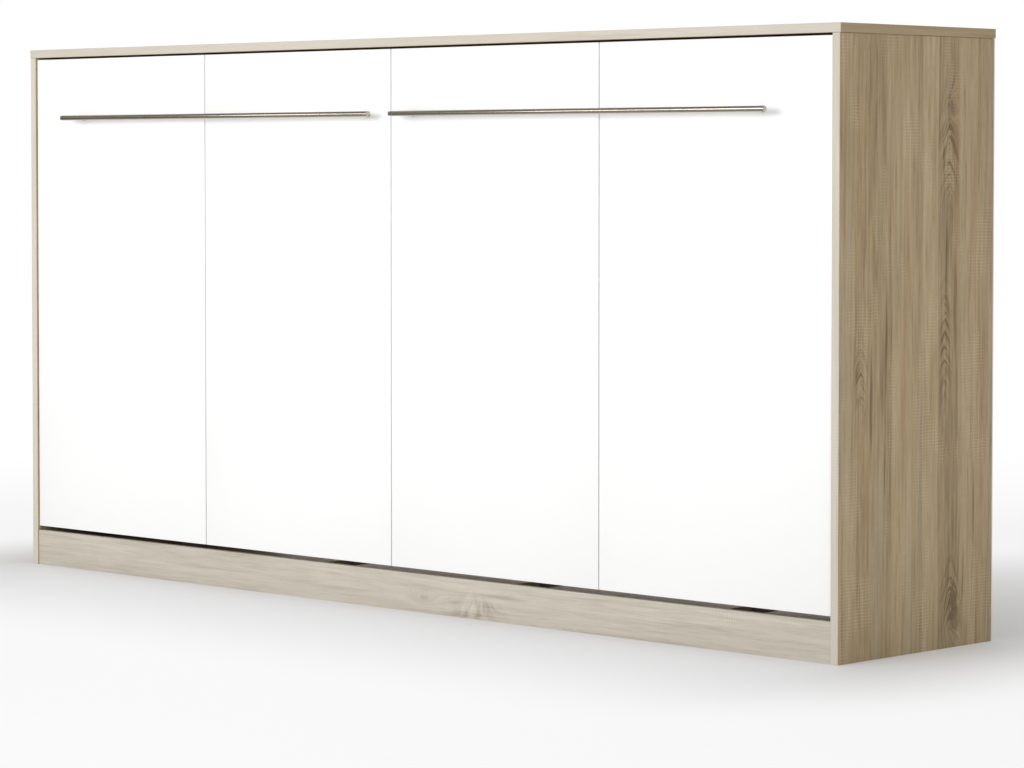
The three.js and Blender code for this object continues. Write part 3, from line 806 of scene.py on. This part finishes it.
STRAP_AT = [(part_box(f"mattress_strap_{word}")[0].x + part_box(f"mattress_strap_{word}")[1].x) / 2
            for word, _ in SIDES]
MATTRESS_STEP = 0.0105
PLAN_CORNER = 0.055
EDGE_ROUND = 0.022
# The quilt: pitch and depth of its stitching, how square its puffs are, how much of a puff lies above
# the face, how far from the edge it starts, and how much of it shows on the slats' side.
QUILT_PITCH, QUILT_DEPTH = 0.125, 0.0045
QUILT_SQUARE, QUILT_MIDDLE = 0.42, 0.75
QUILT_EDGE, QUILT_BELOW = 0.03, 0.6
CROWN, WRINKLE = 0.003, 0.0007
STRAP_LEVEL, STRAP_REACH = 0.004, 0.035
# The border bellies out, and is drawn in along two lines at this height, over this reach.
BELLY, WAIST, WAIST_HEIGHT, WAIST_REACH = 0.0008, 0.0018, 0.028, 0.004
PIPING_DROP, PIPING_RADIUS, PIPING_INSET, PIPING_STEP = 0.0085, 0.0042, 0.0045, 0.012
# Room that the cover leaves at each side before it swells, and how much of that lies on its top.
COVER_ROOM = (0.0035, 0.005, 0.0035)
TOP_ROOM = 0.003
# What is held while it swells: stitches (in the top layer, away from the edge), a band at the piping,
# the layer on the slats, and what lies under the straps.
HELD_LAYER, HELD_EDGE, HELD_STITCH = 0.020, 0.030, 0.0055
HELD_PIPING, HELD_STRAP = (0.006, 0.016), 0.024
# The cover's cloth simulation. A negative shrink is slack, and the cap limits how far a point moves.
CLOTH_FRAMES = 20
CLOTH_CAP = 0.009
CLOTH = {
    "use_pressure": True, "uniform_pressure_force": 4.0, "quality": 4, "mass": 0.15,
    "shrink_min": -0.04, "tension_stiffness": 8.0, "compression_stiffness": 8.0,
    "shear_stiffness": 3.0, "bending_stiffness": 0.08,
}


def grid_box(counts):
    """Vertices from 0 to 1 and faces of a closed box with that many cells along each side."""
    index, points, faces = {}, [], []

    def at(*cell):
        if cell not in index:
            index[cell] = len(points)
            points.append([c / n for c, n in zip(cell, counts)])
        return index[cell]

    for axis in range(3):
        u, v = (axis + 1) % 3, (axis + 2) % 3
        for end in (0, counts[axis]):
            for i in range(counts[u]):
                for j in range(counts[v]):
                    cells = []
                    for di, dj in ((0, 0), (1, 0), (1, 1), (0, 1)):
                        cell = [0, 0, 0]
                        cell[axis], cell[u], cell[v] = end, i + di, j + dj
                        cells.append(at(*cell))
                    faces.append(cells if end else cells[::-1])
    return np.array(points), faces


def to_circle(a, b):
    """Moves points of a square quarter onto a round one: the longer side becomes the radius."""
    size = np.hypot(a, b)
    share = np.where(size > 1e-9, np.maximum(np.abs(a), np.abs(b)) / np.maximum(size, 1e-9), 1.0)
    return a * share, b * share


def mattress_points(unit, half):
    """Rounds the corners of a box and quilts its faces; returns points about the box's middle."""
    x, y, z = ((unit * 2 - 1) * half).T
    cx = np.sign(x) * np.maximum(np.abs(x) - (half[0] - PLAN_CORNER), 0)
    cz = np.sign(z) * np.maximum(np.abs(z) - (half[2] - PLAN_CORNER), 0)
    inner_x, inner_z = x - cx, z - cz
    cx, cz = to_circle(cx, cz)
    x, z = inner_x + cx, inner_z + cz
    reach = np.where(np.hypot(cx, cz) > 0, PLAN_CORNER - np.hypot(cx, cz), np.inf)
    inset = np.minimum(np.minimum(half[0] - np.abs(x), half[2] - np.abs(z)), reach)
    out = np.maximum(EDGE_ROUND - inset, 0)
    up = np.maximum(np.abs(y) - (half[1] - EDGE_ROUND), 0)
    round_out, round_up = to_circle(out, up)
    outward = np.stack([x - np.clip(x, -half[0] + EDGE_ROUND, half[0] - EDGE_ROUND),
                        z - np.clip(z, -half[2] + EDGE_ROUND, half[2] - EDGE_ROUND)])
    length = np.maximum(np.hypot(*outward), 1e-9)
    x = x - outward[0] / length * (out - round_out)
    z = z - outward[1] / length * (out - round_out)
    y = y - np.sign(y) * (up - round_up)

    on_face = np.clip(round_up / EDGE_ROUND, 0, 1) ** 2 * np.clip(inset / QUILT_EDGE, 0, 1)
    diagonal = math.pi / QUILT_PITCH
    puff = np.abs(np.sin(diagonal * (x + z)) * np.sin(diagonal * (x - z))) ** QUILT_SQUARE
    crown = CROWN * (1 - (x / half[0]) ** 4) * (1 - (z / half[2]) ** 4)
    wrinkle = WRINKLE * np.sin(41 * x + 5 * np.sin(17 * z)) * np.sin(37 * z + 4 * np.sin(13 * x))
    lift = QUILT_DEPTH * (puff - QUILT_MIDDLE) + crown + wrinkle * puff
    strap = sum(np.exp(-((x - at) / STRAP_REACH) ** 2) for at in STRAP_AT)
    lift = np.where(y > 0, lift + strap * (STRAP_LEVEL - lift), lift * QUILT_BELOW)
    y = y + np.sign(y) * lift * on_face

    on_side = np.clip(round_out / EDGE_ROUND, 0, 1) * (1 - on_face)
    level = np.clip(np.abs(y) / half[1], 0, 1)
    waist = WAIST * np.exp(-((np.abs(y) - WAIST_HEIGHT) / WAIST_REACH) ** 2)
    belly = BELLY * (1 - level ** 2) - waist
    x = x + np.sign(outward[0]) * belly * on_side * (np.abs(outward[0]) / length)
    z = z + np.sign(outward[1]) * belly * on_side * (np.abs(outward[1]) / length)
    return np.stack([x, y, z], axis=1)


def held_points(points, half):
    """Which points of the cover the stitching, the piping, the straps and the slats hold."""
    x, y, z = points.T

    def from_seam(run):
        return np.abs((run + QUILT_PITCH / 2) % QUILT_PITCH - QUILT_PITCH / 2) / math.sqrt(2)

    top = y > half[1] - HELD_LAYER
    inner = (np.abs(x) < half[0] - HELD_EDGE) & (np.abs(z) < half[2] - HELD_EDGE)
    stitched = (np.minimum(from_seam(x + z), from_seam(x - z)) < HELD_STITCH) & top & inner
    near, far = HELD_PIPING
    piped = ~inner & (np.abs(y) > half[1] - far) & (np.abs(y) < half[1] - near)
    resting = y < HELD_LAYER - half[1]
    strapped = np.any([np.abs(x - at) < HELD_STRAP for at in STRAP_AT], axis=0)
    return stitched | piped | resting | strapped


def inflated(points, faces, held):
    """The cover's points after air pressure has swelled its slack cloth between the held points."""
    mesh = bpy.data.meshes.new("cover")
    mesh.from_pydata(points.tolist(), [], faces)
    cover = bpy.data.objects.new("cover", mesh)
    scene = bpy.context.scene
    scene.collection.objects.link(cover)
    group = cover.vertex_groups.new(name="held")
    group.add([int(i) for i in np.nonzero(held)[0]], 1.0, "REPLACE")
    modifier = cover.modifiers.new("cloth", "CLOTH")
    modifier.settings.vertex_group_mass = "held"
    modifier.settings.effector_weights.gravity = 0.0
    for name, value in CLOTH.items():
        setattr(modifier.settings, name, value)
    modifier.collision_settings.use_collision = False
    modifier.collision_settings.use_self_collision = False
    modifier.point_cache.frame_start = 1
    modifier.point_cache.frame_end = CLOTH_FRAMES
    for number in range(1, CLOTH_FRAMES + 1):
        scene.frame_set(number)
    swelled = cover.evaluated_get(bpy.context.evaluated_depsgraph_get()).to_mesh()
    after = np.empty(3 * len(points))
    swelled.vertices.foreach_get("co", after)
    scene.frame_set(1)
    bpy.data.objects.remove(cover)
    bpy.data.meshes.remove(mesh)
    moved = after.reshape(-1, 3) - points
    size = np.linalg.norm(moved, axis=1, keepdims=True)
    return points + moved * CLOTH_CAP / (CLOTH_CAP + size)


def rounded_loop(half_x, half_z, corner):
    """Points once round a rectangle with round corners, as (x, z)."""
    points = []
    for sx, sz, start in ((1, 1, 0), (-1, 1, 90), (-1, -1, 180), (1, -1, 270)):
        for i in range(9):
            a = math.radians(start + 90 * i / 8)
            points.append((sx * (half_x - corner) + corner * math.cos(a),
                           sz * (half_z - corner) + corner * math.sin(a)))
    dense = []
    for (x0, z0), (x1, z1) in zip(points, points[1:] + points[:1]):
        count = max(1, round(math.hypot(x1 - x0, z1 - z0) / PIPING_STEP))
        dense += [(x0 + (x1 - x0) * i / count, z0 + (z1 - z0) * i / count) for i in range(count)]
    return dense


def join_rings(bm, rings, following_rings):
    for ring, following in zip(rings, following_rings):
        for k in range(len(ring)):
            j = (k + 1) % len(ring)
            bm.faces.new((ring[k], ring[j], following[j], following[k]))


def loop_tube(bm, points, radius, sides=10):
    """A closed tube along a closed loop of points in a plane of constant y."""
    rings = []
    for i, point in enumerate(points):
        before, after = points[i - 1], points[(i + 1) % len(points)]
        tangent = (Vector(after) - Vector(before)).normalized()
        side = tangent.cross(Vector((0, 1, 0)))
        ring = []
        for k in range(sides):
            a = 2 * math.pi * k / sides
            offset = side * math.cos(a) * radius + Vector((0, 1, 0)) * math.sin(a) * radius
            ring.append(bm.verts.new(Vector(point) + offset))
        rings.append(ring)
    join_rings(bm, rings, rings[1:] + rings[:1])


def add_mattress():
    low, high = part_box("mattress")
    middle = (low + high) / 2 - Vector((0, TOP_ROOM, 0))
    half = np.array((high - low) / 2) - np.array(COVER_ROOM)
    counts = [max(6, round(2 * h / MATTRESS_STEP)) for h in half]
    unit, faces = grid_box(counts)
    points = mattress_points(unit, half)
    levels = [abs(points[face, 1]).mean() for face in faces]
    points = inflated(points, faces, held_points(points, half))
    mesh = bpy.data.meshes.new("mattress_quilted")
    mesh.from_pydata((points + np.array(middle)).tolist(), [], faces)
    mesh.shade_smooth()
    piece = new_piece("mattress_quilted", mesh, "bed", "ticking", "ticking", "border")
    for polygon, level in zip(mesh.polygons, levels):
        polygon.material_index = 0 if level > half[1] - PIPING_DROP else 1
    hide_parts("mattress")

    bm = bmesh.new()
    loop = rounded_loop(half[0] - PIPING_INSET, half[2] - PIPING_INSET, PLAN_CORNER - PIPING_INSET)
    for sign in (-1, 1):
        y = middle.y + sign * (half[1] - PIPING_DROP)
        loop_tube(bm, [(middle.x + x, y, middle.z + z) for x, z in loop], PIPING_RADIUS)
    add_detail("mattress_piping", bm, "bed", "ticking", "piping", 80.0)


STRAP_THICK, STRAP_BEND, STRAP_SAG = 0.0018, 0.022, 0.0025
STRAP_LIP, STRAP_LIP_SHARE = 0.001, 0.35
BUCKLE_SIZE = (0.050, 0.0030, 0.034)
BUCKLE_BAR, BUCKLE_EDGE = 0.006, 0.0008
BUCKLE_Z, BUCKLE_DROP = 0.80, 0.0022
# The slide's end bars are a little thinner and shorter than its cross bars make it.
BUCKLE_THINNER, BUCKLE_SHORTER = 0.0001, 0.0004


def strap_mesh(node):
    """A woven band over the mattress: down each long edge, with soft bends at the corners."""
    low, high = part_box(node)
    thick, bend = STRAP_THICK, STRAP_BEND
    y_top = high.y - thick / 2
    z_low, z_high = low.z + thick / 2, high.z - thick / 2
    path = [(low.y + (y_top - bend - low.y) * i / 6, z_low) for i in range(6)]
    for i in range(9):
        a = math.radians(180 - 90 * i / 8)
        path.append((y_top - bend + bend * math.sin(math.pi - a), z_low + bend + bend * math.cos(a)))
    down = list(path)
    for i in range(1, 40):
        z = z_low + bend + (z_high - z_low - 2 * bend) * i / 40
        path.append((y_top - STRAP_SAG * math.sin(math.pi * i / 40), z))
    path += [(y, z_low + z_high - z) for y, z in reversed(down)]
    across = [(low.x, STRAP_LIP_SHARE), (low.x + STRAP_LIP, 1), (high.x - STRAP_LIP, 1),
              (high.x, STRAP_LIP_SHARE)]
    across += [(x, -side) for x, side in reversed(across)]
    bm = bmesh.new()
    rings = []
    for i, (y, z) in enumerate(path):
        ahead = path[min(i + 1, len(path) - 1)]
        behind = path[max(i - 1, 0)]
        run = Vector((0, ahead[0] - behind[0], ahead[1] - behind[1])).normalized()
        out = Vector((1, 0, 0)).cross(run)
        rings.append([bm.verts.new(Vector((x, y, z)) + out * side * thick / 2) for x, side in across])
    join_rings(bm, rings, rings[1:])
    bm.faces.new(rings[0][::-1])
    bm.faces.new(rings[-1])
    return mesh_from(node, bm, 60.0)


def add_straps():
    for word, _ in SIDES:
        node = f"mattress_strap_{word}"
        piece = new_piece(node + "_woven", strap_mesh(node), "bed", "webbing", "webbing")
        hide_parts(node)
        add_buckle(word)


def add_buckle(word):
    """A plain three-bar slide lying on the strap, near the bed's outer long edge."""
    low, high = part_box(f"mattress_strap_{word}")
    x = (low.x + high.x) / 2
    width, thick, height = BUCKLE_SIZE
    floor_y = high.y - BUCKLE_DROP
    bm = bmesh.new()
    for place in (-0.5, 0.0, 0.5):
        z = BUCKLE_Z + place * (height - BUCKLE_BAR)
        add_slab(bm, (x - width / 2, floor_y, z - BUCKLE_BAR / 2),
                 (x + width / 2, floor_y + thick, z + BUCKLE_BAR / 2), BUCKLE_EDGE)
    for end in (-1, 1):
        edge = x + end * (width - BUCKLE_BAR) / 2
        add_slab(bm, (edge - BUCKLE_BAR / 2, floor_y + BUCKLE_THINNER,
                      BUCKLE_Z - height / 2 + BUCKLE_SHORTER),
                 (edge + BUCKLE_BAR / 2, floor_y + thick - BUCKLE_THINNER,
                  BUCKLE_Z + height / 2 - BUCKLE_SHORTER), BUCKLE_EDGE)
    add_detail(f"strap_buckle_{word}", bm, "bed", "black_paint", "black_plastic", 40.0)


# ---- leg bow and gas springs ----

TUBE_ROUND, TUBE_WALL, SMALL_ROUND = 0.0025, 0.0015, 0.0006
CAP_PROUD = 0.0004
CAP_DEPTH = 0.006
PAD_THICK, PAD_LENGTH, PAD_INSET = 0.002, 0.070, 0.055
PAD_SUNK, PAD_MARGIN = 0.0003, 0.0015


def add_tube_cap(bm, node, axis, end):
    """A plastic plug in the open end of a square tube that lies along an axis."""
    low, high = [list(corner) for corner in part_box(node)]
    if node.startswith("leg_arm"):
        # The arm's box also holds its pivot stud, so its width comes from another tube.
        cross_low, cross_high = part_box("leg_cross_tube")
        wide = cross_high.z - cross_low.z
        if high[0] > 0:
            low[0] = high[0] - wide
        else:
            high[0] = low[0] + wide
    mouth = (low, high)[end][axis]
    for other in {0, 1, 2} - {axis}:
        low[other] += TUBE_WALL * 0.9
        high[other] -= TUBE_WALL * 0.9
    below, above = (CAP_DEPTH, CAP_PROUD) if end else (CAP_PROUD, CAP_DEPTH)
    low[axis], high[axis] = mouth - below, mouth + above
    add_slab(bm, low, high, SMALL_ROUND)


def add_leg_bow():
    for node in ("leg_arm_left", "leg_arm_right", "leg_post_left", "leg_post_right", "leg_cross_tube"):
        rounded(node, "silver", TUBE_ROUND, 4)
    body = body_of("leg_cross_tube")
    bm = bmesh.new()
    for word, _ in SIDES:
        add_tube_cap(bm, f"leg_arm_{word}", 2, 1)
        add_tube_cap(bm, f"leg_arm_{word}", 2, 0)
    for end in (0, 1):
        add_tube_cap(bm, "leg_cross_tube", 0, end)
    add_detail("leg_tube_caps", bm, body, "black_paint", "black_plastic", 40.0)

    low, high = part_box("leg_cross_tube")
    bm = bmesh.new()
    for _, side in SIDES:
        x = side * (high.x - PAD_INSET - PAD_LENGTH / 2)
        add_slab(bm, (x - PAD_LENGTH / 2, high.y - PAD_SUNK, low.z + PAD_MARGIN),
                 (x + PAD_LENGTH / 2, high.y + PAD_THICK, high.z - PAD_MARGIN), SMALL_ROUND)
    add_detail("leg_foot_pads", bm, body, "rubber", "rubber", 40.0)


# Profiles of a gas spring as (radius, height). The tube's heights count from the cabinet stud.
SPRING_TUBE = ((0.0, 0.0070), (0.0055, 0.0070), (0.0072, 0.0078), (0.0080, 0.0095), (0.0080, 0.1760),
               (0.0078, 0.1780), (0.0070, 0.1800), (0.0066, 0.1820), (0.0050, 0.1820), (0.0050, 0.0650),
               (0.0, 0.0650))
ROD_RADIUS, ROD_EDGE = 0.0040, 0.0004
ROD_START, ROD_SHORT = 0.1720, 0.009
COLLAR = ((0.0040, 0.0), (0.0052, 0.0008), (0.0058, 0.0020), (0.0058, 0.0050), (0.0, 0.0050))
COLLAR_START = 0.0116
EYE = ((0.0043, -0.0060), (0.0074, -0.0060), (0.0080, -0.0054), (0.0080, 0.0054), (0.0074, 0.0060),
       (0.0043, 0.0060))
SOCKET = ((0.0, -0.0060), (0.0074, -0.0060), (0.0080, -0.0054), (0.0080, 0.0054), (0.0074, 0.0060),
          (0.0048, 0.0060), (0.0044, 0.0054), (0.0, 0.0054))


def spring_ends(word):
    """The centres of the stud sockets on the cabinet and on the bed, at rest."""
    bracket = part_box(f"spring_bracket_{word}")
    tube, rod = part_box(f"gas_cylinder_{word}"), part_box(f"gas_rod_{word}")
    x = (tube[0].x + tube[1].x) / 2
    socket_radius = SOCKET[2][0]
    cabinet = Vector((x, (bracket[0].y + bracket[1].y) / 2, (bracket[0].z + bracket[1].z) / 2))
    bed = Vector((x, rod[0].y + socket_radius, rod[0].z + socket_radius))
    return cabinet, bed


def add_gas_springs():
    for word, side in SIDES:
        cabinet, bed = spring_ends(word)
        along = (bed - cabinet).normalized()
        length = (bed - cabinet).length
        tube, rod = f"gas_cylinder_{word}", f"gas_rod_{word}"

        bm = bmesh.new()
        lathe(bm, SPRING_TUBE, cabinet, along, 40)
        add_instead(tube, bm, "black", sharp_degrees=40.0)
        bm = bmesh.new()
        lathe(bm, EYE, cabinet, (side, 0, 0), 40, ring_shaped=True)
        add_detail(f"spring_eye_{word}", bm, body_of(tube), "black_paint", "black_plastic", 40.0)

        bm = bmesh.new()
        shaft = ((0.0, ROD_START), (ROD_RADIUS - ROD_EDGE, ROD_START), (ROD_RADIUS, ROD_START + ROD_EDGE),
                 (ROD_RADIUS, length - ROD_SHORT), (0.0, length - ROD_SHORT))
        lathe(bm, shaft, cabinet, along, 32)
        add_instead(rod, bm, "chrome", sharp_degrees=40.0)
        bm = bmesh.new()
        lathe(bm, SOCKET, bed, (side, 0, 0), 40)
        lathe(bm, COLLAR, cabinet + along * (length - COLLAR_START), along, 32)
        add_detail(f"spring_socket_{word}", bm, body_of(rod), "black_paint", "black_plastic", 40.0)


# ---- stage ----

FLOOR_REACH = 40.0
# Strength of the even white surround: as light, and as glossy reflections see it.
WORLD_LIGHT, WORLD_REFLECTED = 0.72, 0.26
# Area lights: place, what it faces, size and power, and whether it lights only glossy reflections.
LIGHTS = {
    "key": ((-0.4, -6.4, 1.9), (0, -0.2, 0.5), (4.0, 2.0), 175, False),
    "left_strip": ((-4.9, -6.2, 1.5), (-0.2, -0.2, 0.9), (2.6, 1.8), 48, False),
    "bar_glint": ((-4.9, -6.2, 2.6), (-0.2, -0.2, 0.9), (2.6, 4.0), 34, True),
    "under_bed": ((0.24, 0.035, 0.098), (0.24, -0.06, 0.04), (1.6, 0.02), 0.28, False),
}


def add_floor():
    mesh = bpy.data.meshes.new("studio_floor")
    corners = [(sx * FLOOR_REACH, sy * FLOOR_REACH, 0) for sx, sy in ((-1, -1), (1, -1), (1, 1), (-1, 1))]
    mesh.from_pydata(corners, [], [(0, 1, 2, 3)])
    mesh.materials.append(stage_floor("studio_floor", cad_box[1][0], cad_box[1][1]))
    floor = bpy.data.objects.new("studio_floor", mesh)
    bpy.context.scene.collection.objects.link(floor)


def add_world():
    """An even white surround, dimmer in reflections; what the camera sees directly is plain white."""
    world = bpy.data.worlds.new("studio")
    world.use_nodes = True
    bpy.context.scene.world = world
    nodes, links = world.node_tree.nodes, world.node_tree.links
    nodes.clear()
    output = nodes.new("ShaderNodeOutputWorld")
    path = nodes.new("ShaderNodeLightPath")
    result = None
    for strength, ray in ((WORLD_LIGHT, None), (WORLD_REFLECTED, "Is Glossy Ray"), (1.0, "Is Camera Ray")):
        background = nodes.new("ShaderNodeBackground")
        background.inputs["Color"].default_value = (1, 1, 1, 1)
        background.inputs["Strength"].default_value = strength
        shader = background.outputs[0]
        if ray:
            blend = nodes.new("ShaderNodeMixShader")
            links.new(path.outputs[ray], blend.inputs[0])
            links.new(result, blend.inputs[1])
            links.new(shader, blend.inputs[2])
            shader = blend.outputs[0]
        result = shader
    links.new(result, output.inputs["Surface"])


def add_light(name, at, towards, size, power, only_glints):
    light = bpy.data.lights.new(name, "AREA")
    light.shape = "RECTANGLE"
    light.size, light.size_y = size
    light.energy = power
    lamp = bpy.data.objects.new(name, light)
    lamp.location = at
    lamp.visible_camera = False
    lamp.visible_diffuse = not only_glints
    lamp.rotation_euler = (Vector(towards) - Vector(at)).to_track_quat("-Z", "Y").to_euler()
    bpy.context.scene.collection.objects.link(lamp)


def add_camera():
    camera = bpy.data.cameras.new("camera")
    camera.lens = CAMERA_LENS
    camera.sensor_width = CAMERA_SENSOR
    camera.shift_y = CAMERA_SHIFT
    camera.clip_end = CAMERA_REACH
    holder = bpy.data.objects.new("camera", camera)
    holder.location = CAMERA_AT
    holder.rotation_euler = (math.pi / 2 - CAMERA_PITCH, 0, CAMERA_YAW)
    bpy.context.scene.collection.objects.link(holder)
    bpy.context.scene.camera = holder


# ---- the whole scene ----

add_camera()
add_cabinet()
add_front()
add_handles()
add_bed_frame()
add_mattress()
add_straps()
add_leg_bow()
add_gas_springs()
add_floor()
add_world()
for name, light in LIGHTS.items():
    add_light(name, *light)
bpy.context.scene.view_settings.view_transform = "Standard"
